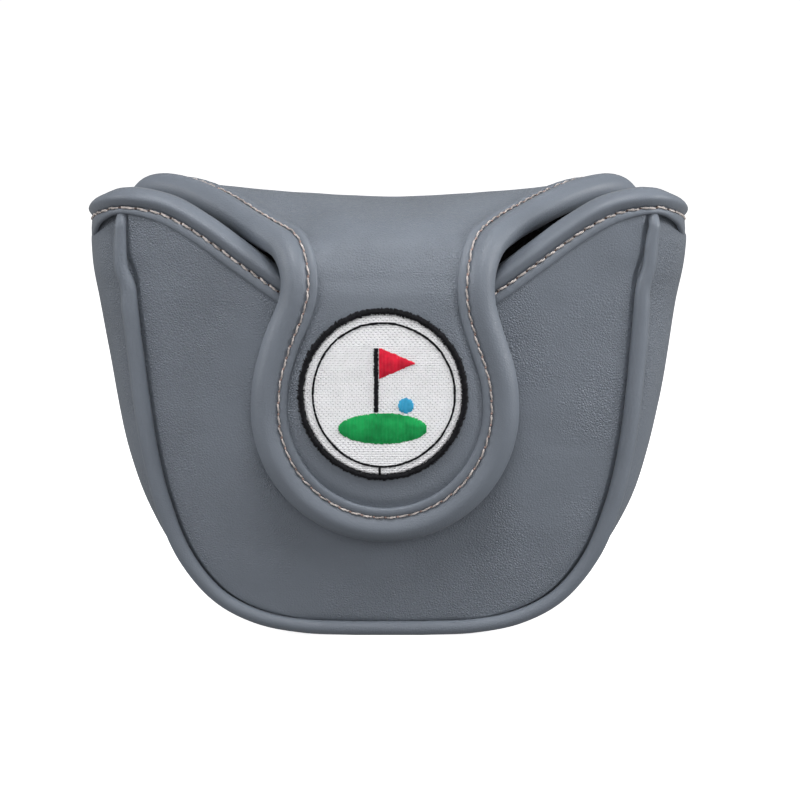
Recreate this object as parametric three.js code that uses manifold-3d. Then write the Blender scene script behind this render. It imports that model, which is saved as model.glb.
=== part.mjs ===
// A mallet putter head cover: a padded pouch with a U-shaped front, back and gusset, a bound rim, and a
// flap that folds over the mouth and closes on a pair of magnets. Millimetres, +Z up, +Y to the back.
// The flap is modelled closed. Every dimension is taken from the floor under the middle of the pouch; the
// finished group is then moved so that its origin is on the floor under the middle of the whole cover.
import * as THREE from "three";
import { mergeVertices } from "three/addons/utils/BufferGeometryUtils.js";
import Module from "manifold-3d";

const wasm = await Module();
wasm.setup();

// ---- Driving dimensions ----
const GAP = 0.3; // between pieces that touch on the real cover
const LEATHER = 1.0;
const WALL = { leather: LEATHER, foam: 2.9, lining: 1.6 }; // pouch wall, from outside to inside
const FLAP = { leather: LEATHER, foam: 1.6, lining: 0.8 };
const WALL_THICK = WALL.leather + WALL.foam + WALL.lining + 2 * GAP;
const FLAP_THICK = FLAP.leather + FLAP.foam + FLAP.lining + 2 * GAP;
const PIPING_R = 2.0;
const FOOT_HALF = 8; // half the length of the flat stretch that each piping stands on
// The edge bindings: the width from the crest to the sewn edge, and how far in from the crest the seam is.
const FLAP_BAND = { width: 8.4, stitch: 6.2 };
const RIM_BAND = { width: 6.8, stitch: 4.5 };
const ROLL_PROUD = 1.2; // how far a binding's roll stands out of the wall it edges
const HALF_DEPTH_LOW = 14.5; // half the gusset's width at the floor
const DEPTH_FLARE = 4.5 / 95; // how much that grows for each millimetre of height
const PANEL_PROUD = 0.8; // the panel's outer face at its seam, in front of the piping's middle
const PANEL_BULGE = 4.0;
const GUSSET_BULGE = 6.7;
const WELT_IN = { left: 1.3, right: 2.4 }; // how far each piping's top is pulled in from the outline
const RIM_LOW = 68.3; // top of the front panel at the middle of the mouth
const RIM_RISE = 27.7; // and how much higher it is at the corners
const GUSSET_TOP = 91.9; // at the middle of the gusset
const GUSSET_RISE = 2.3; // and how much higher it is at its two seams
const BACK_TOP = 92.3; // where the back panel ends and the flap starts
const FLAP_SAG = { left: 3.2, right: 2.1 }; // how far the flap's edges sag beside the neck
const DISC_R = 30.3; // the flap's round end
const DISC_Z = 52.7;
const NECK_Z = 82; // where the flap starts to hang as a tongue
const TONGUE_OUT = 22.4; // the tongue's sheet, from the middle of the cover, if it reached the floor
const TONGUE_LEAN = 0.07; // and how much further out it is for each millimetre of height
const SPLIT = 0.87; // where the bridge meets the tongue, as a share of the way from the back to the neck
const SPLIT_GAP = 0.009; // half the gap between them, on the same scale
const MAGNET = { r: 6, thick: 1.5 };
const PATCH = { r: 19.1, rim: 1.6, x: -1.2, z: 56.9, thick: 0.9, border: 1.8, satin: 0.5 };
const PATCH_RING = { inner: 15.7, outer: 16.2 };

// The pouch's outline through the middle of the piping: x and z, from the top corner to the floor.
const OUTLINE = [
  [62.2, 94], [61.5, 86], [59.9, 77.5], [58.4, 66], [57, 54.3], [55.2, 42.7], [52.2, 30.6], [46.9, 18.7],
  [38.8, 9.3], [29.9, 4.6], [19.5, 2.5], [FOOT_HALF, PIPING_R],
];
// The middle of the flap's sheet along the cover's centre, y and z, and its edge, x, y and z, row by row
// from the back panel over the mouth to the neck.
const FLAP_CENTRE = [
  [21.8, 92.6], [21.3, 94.8], [17.6, 96.8], [8.5, 97.1], [0, 96.8], [-9.5, 95.7], [-18.5, 93.4],
  [-25.2, 88.7], [-27.9, 82],
];
const FLAP_EDGE = [
  [59.2, 17.8, 92.6], [59.4, 17.6, 96.4], [58, 14, 101.3], [53.2, 7.2, 102.7], [45, -0.5, 101.4],
  [37, -9.5, 98.7], [29.9, -18.8, 94.9], [25.4, -25.5, 89.6], [23.8, -27.9, 82],
];
// The tongue's crest from the neck to the widest part of its round end: half-width and z.
const TONGUE_EDGE = [
  [23.8, 82], [23.9, 78.5], [25.2, 73.8], [27.7, 66.7], [29.7, 60.2], [DISC_R, DISC_Z],
];
// The rim binding's crest past the front panel: x, y and z, round the corner and back along the gusset.
const RIM_CREST = [
  [58.2, -16.2, 102.9], [62.6, -10.6, 101.4], [64.6, 0, 99.3], [64, 7, 99.5], [63, 12.2, 100],
];

// ---- Solids ----
const lerp = (a, b, t) => a + (b - a) * t;
const steps = (n, from = 0, to = 1) => Array.from({ length: n + 1 }, (_, i) => lerp(from, to, i / n));
const vec = (x, y, z) => new THREE.Vector3(x, y, z);

// A closed geometry from vertices and triangles, turned to face out.
function solid(points, triangles) {
  const volume = triangles.reduce((sum, [a, b, c]) => {
    return sum + points[a].dot(points[b].clone().cross(points[c])) / 6;
  }, 0);
  const faces = volume < 0 ? triangles.map(([a, b, c]) => [a, c, b]) : triangles;
  return new THREE.BufferGeometry().setFromPoints(points).setIndex(faces.flat());
}

// A plate that follows a surface, between two distances along its normal. surface(u, v) gives a point.
function plate(surface, us, vs, near, far) {
  const e = 1e-3;
  const points = [];
  for (const distance of [near, far])
    for (const v of vs)
      for (const u of us) {
        const along = surface(u + e, v).sub(surface(u - e, v));
        const down = surface(u, v + e).sub(surface(u, v - e));
        points.push(surface(u, v).addScaledVector(down.cross(along).normalize(), distance));
      }
  const nu = us.length;
  const nv = vs.length;
  const at = (layer, i, j) => layer * nu * nv + j * nu + i;
  const faces = [];
  const quad = (a, b, c, d) => faces.push([a, b, c], [a, c, d]);
  for (let j = 0; j < nv - 1; j++)
    for (let i = 0; i < nu - 1; i++) {
      quad(at(0, i, j), at(0, i + 1, j), at(0, i + 1, j + 1), at(0, i, j + 1));
      quad(at(1, i, j), at(1, i, j + 1), at(1, i + 1, j + 1), at(1, i + 1, j));
    }
  for (let i = 0; i < nu - 1; i++) {
    quad(at(0, i, 0), at(1, i, 0), at(1, i + 1, 0), at(0, i + 1, 0));
    quad(at(0, i, nv - 1), at(0, i + 1, nv - 1), at(1, i + 1, nv - 1), at(1, i, nv - 1));
  }
  for (let j = 0; j < nv - 1; j++) {
    quad(at(0, 0, j), at(0, 0, j + 1), at(1, 0, j + 1), at(1, 0, j));
    quad(at(0, nu - 1, j), at(1, nu - 1, j), at(1, nu - 1, j + 1), at(0, nu - 1, j + 1));
  }
  return solid(points, faces);
}

// A section swept along frames of { origin, inward, normal }. The section is a list of [inward, normal].
function sweep(frames, section) {
  const n = section.length;
  const points = frames.flatMap((f) =>
    section.map(([a, b]) => f.origin.clone().addScaledVector(f.inward, a).addScaledVector(f.normal, b)),
  );
  const faces = [];
  for (let j = 0; j < frames.length - 1; j++)
    for (let i = 0; i < n; i++) {
      const k = (i + 1) % n;
      faces.push([j * n + i, j * n + k, (j + 1) * n + k], [j * n + i, (j + 1) * n + k, (j + 1) * n + i]);
    }
  const outline = section.map(([a, b]) => new THREE.Vector2(a, b));
  const cap = THREE.ShapeUtils.triangulateShape(outline, []);
  const last = (frames.length - 1) * n;
  const clockwise = THREE.ShapeUtils.isClockWise(outline);
  for (const [a, b, c] of cap) {
    const [p, q] = clockwise ? [b, c] : [c, b];
    faces.push([a, p, q], [last + a, last + q, last + p]);
  }
  return solid(points, faces);
}

function manifold(geometry) {
  const bare = geometry.clone();
  bare.deleteAttribute("normal");
  bare.deleteAttribute("uv");
  const merged = mergeVertices(bare, 1e-4);
  return new wasm.Manifold(
    new wasm.Mesh({
      numProp: 3,
      vertProperties: new Float32Array(merged.attributes.position.array),
      triVerts: new Uint32Array(merged.index.array),
    }),
  );
}

function geometryOf(made) {
  const mesh = made.getMesh();
  const geometry = new THREE.BufferGeometry();
  geometry.setAttribute("position", new THREE.BufferAttribute(new Float32Array(mesh.vertProperties), 3));
  return geometry.setIndex(new THREE.BufferAttribute(new Uint32Array(mesh.triVerts), 1));
}

const cut = (geometry, tool) => geometryOf(manifold(geometry).subtract(manifold(tool)));

// ---- Sections ----
// An ellipse of n sides round [a, b].
function ring(n, half, tall = half, a = 0, b = 0) {
  const angles = steps(n - 1, 0, 2 * Math.PI * (1 - 1 / n));
  return angles.map((t) => [a + half * Math.cos(t), b + tall * Math.sin(t)]);
}

// The binding's leather, as [distance in from the crest, distance from the wall's middle]: a roll over the
// edge, open on the inside, and a sewn strip on each face of a wall of that half thickness.
function bindingSection(half, band) {
  const roll = half + ROLL_PROUD;
  const swell = 0.68 * band.stitch;
  const outer = [
    [band.width, half],
    [band.stitch, half],
    [swell, roll],
    [1.1, 0.85 * roll],
    [0, 0.25 * roll],
  ];
  const inner = [
    [band.width, half - LEATHER],
    [band.stitch - 0.3, half - LEATHER],
    [swell - 0.2, roll - LEATHER],
    [1.3, 0.4 * roll],
  ];
  const flip = (points) => points.map(([a, b]) => [a, -b]);
  return [...outer, ...flip(outer).reverse(), ...flip(inner), ...inner.reverse()];
}

const CORD_HALF = 1.1; // half the width of the filler cord inside a roll
const CORD_CLEAR = 0.7; // and its distance from the roll's leather
function cordSection(half, band) {
  return ring(6, CORD_HALF, half + ROLL_PROUD - LEATHER - CORD_CLEAR, 0.56 * band.stitch);
}

const THREAD_R = 0.3;
const threadSection = (half, band) => ring(4, THREAD_R, THREAD_R, band.stitch + 0.5, half + 2 * THREAD_R);

// ---- The pouch ----
const halfDepth = (z) => HALF_DEPTH_LOW + DEPTH_FLARE * z;
const spline = (points) => new THREE.CatmullRomCurve3(points, false, "centripetal");
const outline = new THREE.CurvePath();
outline.add(spline(OUTLINE.map(([x, z]) => vec(x, 0, z))));
outline.add(new THREE.LineCurve3(vec(FOOT_HALF, 0, PIPING_R), vec(0, 0, PIPING_R)));

// A point on the outline, moved out along its normal. t is 0 at the left corner, 0.5 at the floor and 1 at
// the right corner.
function onOutline(t, out = 0) {
  const side = t < 0.5 ? -1 : 1;
  const along = Math.min(Math.abs(2 * t - 1), 1);
  const tangent = outline.getTangentAt(1 - along);
  const point = outline.getPointAt(1 - along);
  return vec(side * (point.x - tangent.z * out), 0, point.z + tangent.x * out);
}

const smooth = (t) => t * t * (3 - 2 * t);
const clamp = (t) => Math.min(Math.max(t, 0), 1);

// How far the piping is pulled in at a height, on the side where x has the sign of hand.
function pulledIn(hand, z) {
  return (hand < 0 ? WELT_IN.left : WELT_IN.right) * smooth(clamp((z - 5) / 75));
}

const rimZ = (x) => RIM_LOW + RIM_RISE * smooth(clamp(Math.abs(x) / 60) ** 1.15);

// The outer face of the front (side -1) or back (side 1) panel. v is 0 at its top, 1 at its lower seam.
const SEAM_IN = PIPING_R + GAP;
const LOWEST_ROW = 0.86; // share of the half outline where the lower edge turns flat
function panel(side, top) {
  return (u, v) => {
    const t = 0.5 + 0.5 * (1 - lerp(0.01, LOWEST_ROW, v));
    const edge = onOutline(t, -SEAM_IN);
    const highest = onOutline(0.995, -SEAM_IN);
    const x = u * edge.x - Math.sign(u) * pulledIn(u, edge.z) * Math.abs(u) ** 3;
    const dip = (top(u * highest.x) - highest.z) * Math.max(1 - v, 0) ** 1.5;
    const z = edge.z + dip - 0.4 * (1 - u * u) * Math.max(v, 0) ** 6;
    const rounding = 1 - (1 - clamp((z - 4) / 45)) ** 2.2;
    const bulge = PANEL_BULGE * (1 - clamp(Math.abs(u)) ** 2.4) * rounding;
    return vec(x, side * (halfDepth(z) + PANEL_PROUD + bulge), z);
  };
}

function gussetBulge(z) {
  return GUSSET_BULGE * Math.sin((Math.PI / 2) * clamp((z - 2 * PIPING_R) / 80));
}

// The gusset's outer face. u runs round the outline and v from the front seam, -1, to the back seam, 1.
function gussetFace(u, v) {
  const base = onOutline(u, 0);
  const share = clamp(v * v);
  const out = GAP + gussetBulge(base.z) * (1 - share);
  const point = onOutline(u, out);
  const reach = halfDepth(base.z) - PIPING_R - GAP;
  const high = Math.max(Math.abs(2 * u - 1) - 0.9, 0) * 10;
  const top = GUSSET_TOP + GUSSET_RISE * v * v;
  const x = point.x - Math.sign(point.x) * pulledIn(point.x, base.z) * share;
  return vec(x, v * reach, lerp(point.z, Math.min(point.z, top), high));
}

// Layers lie under the outer face, and each panel's normal points in or out by its side.
const DEPTHS = {
  leather: [0, WALL.leather],
  foam: [WALL.leather + GAP, WALL.leather + GAP + WALL.foam],
  lining: [WALL_THICK - WALL.lining, WALL_THICK],
};

function panelLayer(side, top, layer) {
  const outermost = layer === "leather";
  const short = outermost ? 0 : 0.015; // the inner layers stop a little short of the leather's edge
  const us = steps(outermost ? 14 : 10, short - 1, 1 - short);
  const vs = steps(outermost ? 12 : 7, short, 1 - short);
  const [near, far] = DEPTHS[layer];
  return plate(panel(side, top), us, vs, side * near, side * far);
}

// The gusset's foam and lining stop short of the panels' walls.
function gussetLayer(layer) {
  const across = layer === "leather" ? 1 : 0.68;
  const us = [...steps(14, 0.01, 0.36), ...steps(6, 0.36, 0.64).slice(1, -1), ...steps(14, 0.64, 0.99)];
  const [near, far] = DEPTHS[layer];
  return plate(gussetFace, us, steps(layer === "leather" ? 6 : 4, -across, across), -near, -far);
}

const FOOT_SHARE = (FOOT_HALF - 0.01) / outline.getLength();
const PIPING_STEPS = [
  ...steps(14, 0.004, (1 - FOOT_SHARE) / 2),
  ...steps(14, (1 + FOOT_SHARE) / 2, 0.996),
];
function pipingFrames(side) {
  return PIPING_STEPS.map((t) => {
    const at = onOutline(t);
    const out = onOutline(t, 1).sub(at);
    const x = at.x - Math.sign(at.x) * pulledIn(at.x, at.z);
    return { origin: vec(x, side * halfDepth(at.z), at.z), inward: out, normal: vec(0, 1, 0) };
  });
}

// The piping's leather is a tube round its cord, slit on the seam's side, with a flat on its far side.
const PIPING_SKIN = 0.75;
function pipingSection() {
  const slit = 0.45; // half the slit's angle
  const sides = 7;
  const out = PIPING_R / Math.cos((Math.PI - slit) / sides);
  const angles = steps(sides, Math.PI + slit, 3 * Math.PI - slit);
  const arc = (r) => angles.map((t) => [r * Math.cos(t), r * Math.sin(t)]);
  return [...arc(out), ...arc(out - PIPING_SKIN).reverse()];
}

// ---- The rim's binding, round the front and both sides of the mouth ----
const WALL_HALF = WALL_THICK / 2;
function rimFrames() {
  const face = panel(-1, rimZ);
  const front = [0, 0.2, 0.4, 0.58, 0.74, 0.87].map((u) => {
    const low = face(u, 0);
    const slope = (rimZ(low.x + 0.1) - rimZ(low.x - 0.1)) / 0.2;
    const up = vec(-slope, 0, 1).normalize();
    return vec(low.x, low.y + WALL_HALF, low.z).addScaledVector(up, RIM_BAND.width + 2 * GAP);
  });
  const half = [...front, ...RIM_CREST.map((p) => vec(...p))];
  const mirrored = half.slice(1).map((p) => vec(-p.x, p.y, p.z)).reverse();
  const crest = new THREE.CatmullRomCurve3([...mirrored, ...half], false, "centripetal");
  return steps(42).map((t) => {
    const tangent = crest.getTangentAt(t);
    const origin = crest.getPointAt(t);
    const flat = vec(tangent.y, -tangent.x, 0).normalize();
    const inward = flat.clone().cross(tangent).normalize();
    if (inward.z > 0) inward.negate();
    return { origin, inward, normal: flat };
  });
}

// ---- The flap ----
const FLAP_HALF = FLAP_THICK / 2;
const flapCentre = spline(FLAP_CENTRE.map(([y, z]) => vec(0, y, z)));
const flapEdge = spline(FLAP_EDGE.map((p) => vec(...p)));
const tongueSide = spline(TONGUE_EDGE.map(([x, z]) => vec(x, 0, z)));

// How far across the flap its layers stop short of a slanting edge, to leave room for the binding.
const inset = (tangent) => (FLAP_BAND.width + GAP) / Math.sqrt(1 - tangent.x ** 2);

// The middle of the bridge's sheet. u is -1 and 1 at the crests of its edges, and v is 0 at the back and 1
// at the neck.
function bridge(u, v) {
  const middle = flapCentre.getPoint(v);
  const edge = flapEdge.getPoint(v);
  const share = u * u;
  const most = u < 0 ? FLAP_SAG.left : FLAP_SAG.right;
  const sag = most * Math.sin(Math.PI * clamp((v - 0.35) / 0.65)) ** 1.4;
  const z = lerp(middle.z, edge.z, share) - sag * smooth(clamp((Math.abs(u) - 0.25) / 0.4));
  return vec(u * edge.x, lerp(middle.y, edge.y, share), z);
}

// The middle of the tongue's sheet hangs nearly flat, leans out, and starts to bend back at the neck.
function tongueY(x, z) {
  const bend = 0.007 * Math.max(z - 76, 0) ** 2;
  return -TONGUE_OUT - TONGUE_LEAN * z + bend + 0.5 * (x / DISC_R) ** 2;
}

// Half the tongue's width inside its binding, at a height.
function tongueHalf(z) {
  const r = DISC_R - FLAP_BAND.width - GAP;
  if (z <= DISC_Z) return Math.sqrt(Math.max(r * r - (z - DISC_Z) ** 2, 0));
  let low = 0;
  let high = 1;
  for (let i = 0; i < 24; i++) {
    const t = (low + high) / 2;
    if (tongueSide.getPoint(t).z > z) {
      low = t;
    } else {
      high = t;
    }
  }
  return tongueSide.getPoint(low).x - inset(tongueSide.getTangent(low));
}

// The whole flap inside its binding: v runs from 0 at the back to 1 at the neck and 2 at the round end.
const TONGUE_LOW = DISC_Z - (DISC_R - FLAP_BAND.width - GAP) + 0.25;
function flap(u, v) {
  if (v <= 1) {
    const edge = flapEdge.getPoint(v);
    return bridge(u * (1 - inset(flapEdge.getTangent(v)) / edge.x), v);
  }
  const fall = Math.min(v - 1, 1);
  const eased = fall < 0.55 ? fall : 0.55 + 0.45 * Math.sin(((fall - 0.55) / 0.45) * (Math.PI / 2));
  const z = lerp(NECK_Z, TONGUE_LOW, eased) - Math.max(v - 2, 0);
  const x = u * Math.max(tongueHalf(z), 2.5);
  return vec(x, tongueY(x, z), z);
}

const LEVELS = {
  leather: [FLAP_HALF - FLAP.leather, FLAP_HALF],
  foam: [FLAP.lining + GAP - FLAP_HALF, FLAP.lining + GAP + FLAP.foam - FLAP_HALF],
  lining: [-FLAP_HALF, FLAP.lining - FLAP_HALF],
};

const BRIDGE_ROWS = steps(11, 0.015, SPLIT - SPLIT_GAP);
const TONGUE_ROWS = [...steps(2, SPLIT + SPLIT_GAP, 0.965), ...steps(12, 1.04, 2)];
function flapLayer(rows, layer) {
  const [near, far] = LEVELS[layer];
  return plate(flap, steps(8, -1, 1), rows, near, far);
}

// A frame on the flap's crest, from the points before and after it.
function crestFrame(before, origin, after, normal) {
  const tangent = after.clone().sub(before);
  const inward = normal.clone().cross(tangent).normalize();
  return { origin, inward, normal };
}

function bridgeNormal(side, v) {
  const e = 1e-3;
  const along = bridge(side + e, v).sub(bridge(side - e, v));
  const down = bridge(side, v + e).sub(bridge(side, v - e));
  return down.cross(along).normalize();
}

// The crest of the bridge's edge on one side, as points and normals.
function bridgeCrest(side, rows) {
  return rows.map((v) => ({ at: bridge(side, v), normal: bridgeNormal(side, v) }));
}

// The crest of the tongue below the neck, from the left side to the right.
function tongueCrest() {
  const on = (x, z) => {
    const slope = tongueY(x, z + 0.5) - tongueY(x, z - 0.5);
    return { at: vec(x, tongueY(x, z), z), normal: vec(0, -1, slope).normalize() };
  };
  const side = steps(7, 0, 0.96).map((t) => tongueSide.getPoint(t));
  const end = steps(8, 0, Math.PI / 2).map((angle) => {
    return vec(DISC_R * Math.cos(angle), 0, DISC_Z - DISC_R * Math.sin(angle));
  });
  const half = [...side, ...end];
  return [...half.map((p) => on(-p.x, p.z)), ...half.slice(0, -1).reverse().map((p) => on(p.x, p.z))];
}

function crestFrames(crest) {
  return crest.map(({ at, normal }, i) => {
    const before = crest[Math.max(i - 1, 0)].at;
    const after = crest[Math.min(i + 1, crest.length - 1)].at;
    return crestFrame(before, at, after, normal);
  });
}

// On the right the crest is walked up, so that its inward side is always on the same hand.
function bridgeFrames(side) {
  const crest = bridgeCrest(side, BRIDGE_ROWS);
  return crestFrames(side < 0 ? crest : crest.reverse());
}

function tongueFrames() {
  const upper = steps(3, SPLIT + SPLIT_GAP, 0.96);
  return crestFrames([...bridgeCrest(-1, upper), ...tongueCrest(), ...bridgeCrest(1, upper).reverse()]);
}

// ---- Materials ----
function material(color, roughness, metalness = 0) {
  return new THREE.MeshStandardMaterial({ color, roughness, metalness });
}

const leather = material(0x6a727d, 0.55);
const foam = material(0x2b2d31, 0.95);
const plush = material(0x17181a, 1);
const cord = material(0xc9c6bd, 0.9);
const thread = material(0xb9a59f, 0.7);
const steel = material(0xb8bcc2, 0.3, 1);
const white = material(0xe6e6ea, 0.8);
const black = material(0x17181b, 0.8);
const red = material(0xd8242f, 0.8);
const green = material(0x1fa04a, 0.8);
const blue = material(0x3cb4de, 0.8);

const cover = new THREE.Group();
function add(name, geometry, surface, parent = cover) {
  const mesh = new THREE.Mesh(geometry, surface);
  mesh.name = name;
  parent.add(mesh);
  return mesh;
}

// ---- Assembly: the pouch ----
function magnetDisc(radius, thickness, y, z) {
  return new THREE.CylinderGeometry(radius, radius, thickness, 24).translate(0, y, z);
}

const flatTop = () => BACK_TOP;
const frontFaceY = -(halfDepth(DISC_Z) + PANEL_PROUD + PANEL_BULGE);
const frontMagnetY = frontFaceY + WALL.leather + GAP + WALL.foam / 2;
const frontPocket = magnetDisc(MAGNET.r + GAP, 3 * WALL.foam, frontMagnetY, DISC_Z);
add("front_panel", panelLayer(-1, rimZ, "leather"), leather);
add("front_foam", cut(panelLayer(-1, rimZ, "foam"), frontPocket), foam);
add("front_lining", panelLayer(-1, rimZ, "lining"), plush);
add("front_magnet", magnetDisc(MAGNET.r, MAGNET.thick, frontMagnetY, DISC_Z), steel);
add("back_panel", panelLayer(1, flatTop, "leather"), leather);
add("back_foam", panelLayer(1, flatTop, "foam"), foam);
add("back_lining", panelLayer(1, flatTop, "lining"), plush);
add("gusset", gussetLayer("leather"), leather);
add("gusset_foam", gussetLayer("foam"), foam);
add("gusset_lining", gussetLayer("lining"), plush);
for (const [side, name] of [[-1, "front"], [1, "back"]]) {
  add(name + "_piping", sweep(pipingFrames(side), pipingSection()), leather);
  add(name + "_piping_cord", sweep(pipingFrames(side), ring(6, PIPING_R - PIPING_SKIN - GAP)), cord);
}
const rim = rimFrames();
add("rim_binding", sweep(rim, bindingSection(WALL_HALF, RIM_BAND)), leather);
add("rim_cord", sweep(rim, cordSection(WALL_HALF, RIM_BAND)), cord);
add("rim_stitching", sweep(rim, threadSection(WALL_HALF, RIM_BAND)), thread);

// ---- Assembly: the flap ----
for (const [side, name] of [[-1, "left"], [1, "right"]]) {
  const frames = bridgeFrames(side);
  add("bridge_binding_" + name, sweep(frames, bindingSection(FLAP_HALF, FLAP_BAND)), leather);
  add("bridge_cord_" + name, sweep(frames, cordSection(FLAP_HALF, FLAP_BAND)), cord);
  add("bridge_stitching_" + name, sweep(frames, threadSection(FLAP_HALF, FLAP_BAND)), thread);
}
add("bridge_leather", flapLayer(BRIDGE_ROWS, "leather"), leather);
add("bridge_foam", flapLayer(BRIDGE_ROWS, "foam"), foam);
add("bridge_lining", flapLayer(BRIDGE_ROWS, "lining"), plush);

const tongueMagnetY = tongueY(0, DISC_Z) - (LEVELS.foam[0] + LEVELS.foam[1]) / 2;
const tonguePocket = magnetDisc(MAGNET.r + GAP, 3 * FLAP_THICK, tongueMagnetY, DISC_Z);
const tongueEdge = tongueFrames();
add("tongue_leather", flapLayer(TONGUE_ROWS, "leather"), leather);
add("tongue_foam", cut(flapLayer(TONGUE_ROWS, "foam"), tonguePocket), foam);
add("tongue_lining", flapLayer(TONGUE_ROWS, "lining"), plush);
add("tongue_binding", sweep(tongueEdge, bindingSection(FLAP_HALF, FLAP_BAND)), leather);
add("tongue_cord", sweep(tongueEdge, cordSection(FLAP_HALF, FLAP_BAND)), cord);
add("tongue_stitching", sweep(tongueEdge, threadSection(FLAP_HALF, FLAP_BAND)), thread);
add("tongue_magnet", magnetDisc(MAGNET.r, MAGNET.thick, 0, 0), steel)
  .translateY(tongueMagnetY)
  .translateZ(DISC_Z)
  .rotateX(Math.atan(TONGUE_LEAN));

// ---- Assembly: the patch, flat on the tongue, with a golf-green motif ----
// Inside this group x runs to the right and y up over the patch, and z stands off the leather.
const patch = new THREE.Group();
patch.position.set(PATCH.x, tongueY(0, PATCH.z) - FLAP_HALF - GAP, PATCH.z);
patch.rotation.x = Math.PI / 2 + Math.atan(TONGUE_LEAN);
cover.add(patch);

function turned(profile) {
  const points = profile.map(([r, height]) => new THREE.Vector2(r, height));
  return new THREE.LatheGeometry(points, 40).rotateX(Math.PI / 2);
}

function disc(r, from, to) {
  return turned([[0, from], [r, from], [r, to], [0, to]]);
}

function hoop(inner, outer, from, to) {
  return turned([[inner, from], [outer, from], [outer, to], [inner, to], [inner, from]]);
}

const SATIN_LOW = PATCH.thick + GAP;
function satin(shape) {
  const settings = { depth: PATCH.satin, bevelEnabled: false, curveSegments: 10 };
  return new THREE.ExtrudeGeometry(shape, settings).translate(0, 0, SATIN_LOW);
}

const polygon = (points) => new THREE.Shape(points.map(([x, y]) => new THREE.Vector2(x, y)));
const ellipse = (x, y, a, b) => new THREE.Shape().absellipse(x, y, a, b, 0, 2 * Math.PI);
const { inner: ringInner, outer: ringOuter } = PATCH_RING;

add("patch_twill", disc(PATCH.r - PATCH.rim - GAP, 0, PATCH.thick), white, patch);
add("patch_border", hoop(PATCH.r - PATCH.rim, PATCH.r, 0, PATCH.border), black, patch);
add("patch_ring", hoop(ringInner, ringOuter, SATIN_LOW, SATIN_LOW + PATCH.satin), black, patch);
add("patch_green", satin(ellipse(0, -7.5, 10, 3.4)), green, patch);
add("patch_pole", satin(polygon([[-2, -3.7], [-1, -3.7], [-1, 10.4], [-2, 10.4]])), black, patch);
add("patch_pennant", satin(polygon([[-0.7, 3.6], [7.4, 7], [-0.7, 10.4]])), red, patch);
add("patch_ball", satin(ellipse(5.2, -2.4, 1.7, 1.7)), blue, patch);

// The finished group's origin is on the floor, under the middle of the whole cover's depth.
const box = new THREE.Box3().setFromObject(cover);
cover.position.y = -(box.min.y + box.max.y) / 2;

export default cover;
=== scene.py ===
"""The looks of a padded mallet putter head cover, built around its CAD frame. The flap faces -Y and +Z is up.

Shapes are worked out in millimetres from the same driving dimensions as the CAD solids, with the fine surface
added: rolled bindings with separate stitches, pulled-in seams, soft undulation, and an embroidered patch.
"""
import math

import bpy
import numpy as np
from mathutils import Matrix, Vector


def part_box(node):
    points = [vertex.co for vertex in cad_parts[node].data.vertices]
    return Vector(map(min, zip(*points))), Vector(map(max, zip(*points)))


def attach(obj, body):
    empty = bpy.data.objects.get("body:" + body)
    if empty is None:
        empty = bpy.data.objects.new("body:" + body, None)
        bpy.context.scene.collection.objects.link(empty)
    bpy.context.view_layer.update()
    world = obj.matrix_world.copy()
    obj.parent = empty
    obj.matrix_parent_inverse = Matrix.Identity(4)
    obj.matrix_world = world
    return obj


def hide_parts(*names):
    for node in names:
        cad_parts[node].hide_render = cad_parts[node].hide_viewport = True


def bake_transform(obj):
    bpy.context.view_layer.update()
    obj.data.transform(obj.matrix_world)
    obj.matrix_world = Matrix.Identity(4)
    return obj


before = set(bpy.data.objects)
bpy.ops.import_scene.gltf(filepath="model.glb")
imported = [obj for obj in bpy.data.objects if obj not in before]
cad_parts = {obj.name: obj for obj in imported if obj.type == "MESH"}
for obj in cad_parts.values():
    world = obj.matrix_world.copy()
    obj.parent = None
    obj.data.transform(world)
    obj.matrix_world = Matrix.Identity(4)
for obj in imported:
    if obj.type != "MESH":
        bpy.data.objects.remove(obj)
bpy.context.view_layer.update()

MM = 0.001
TAU = 2 * math.pi
rng = np.random.default_rng(7)

# ---- Driving dimensions, in millimetres, with y from the middle of the pouch ----
piping_boxes = [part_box("front_piping"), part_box("back_piping")]
MIDDLE_Y = sum(low[1] + high[1] for low, high in piping_boxes) / 4 / MM
WALL = 6.1  # the pouch's leather, foam and lining together
FLAP_WALL = 4.0
LEATHER = 1.0
PLUSH = 1.5
FLAP_PLUSH = 0.8
PIPING_R = 2.0
SEAM_IN = PIPING_R + 0.3
HALF_DEPTH_LOW = 14.5  # half the depth between the seams at the floor, and what it gains with height
DEPTH_FLARE = 4.5 / 95
PANEL_PROUD = 0.8
PANEL_BULGE = 4.0
PANEL_HALF = 57  # about half a panel's width, and its run from top to bottom
PANEL_RUN = 78
GUSSET_HALF = 15
TONGUE_HALF = 20
GUSSET_BULGE = 6.7
RIM_LOW = 68.3
RIM_RISE = 27.7
BACK_TOP = 92.3
RIM_BAND = {"width": 6.8, "stitch": 4.5, "half": WALL / 2}
FLAP_BAND = {"width": 8.4, "stitch": 6.2, "half": FLAP_WALL / 2}
DISC_R = 30.3
DISC_Z = 52.7
NECK_Z = 82
TONGUE_OUT = 22.4
TONGUE_LEAN = 0.07
FLAP_SAG = {-1: 3.2, 1: 2.1}  # how far the flap's sewn edges sag beside the neck, on the left and the right
DISC_HANG = [-0.7, 0, 0.6]  # the tongue's round end hangs a little left of the middle, and high
CORNER_OUT = {-1: 1.9, 1: 0.3}  # how far the flap's back corners stand out, and how far their rolls sink
CORNER_SINK = {-1: 0.65, 1: 0.95}
PATCH = {"r": 19.1, "tall": 1.027, "x": -1.2, "z": 57.0, "thick": 0.9}
STITCH_PITCH = 2.65
RIM_THREAD_R = 0.23
FLAP_THREAD_R = 0.19
SMOOTH_UP_TO = math.radians(50)
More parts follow.
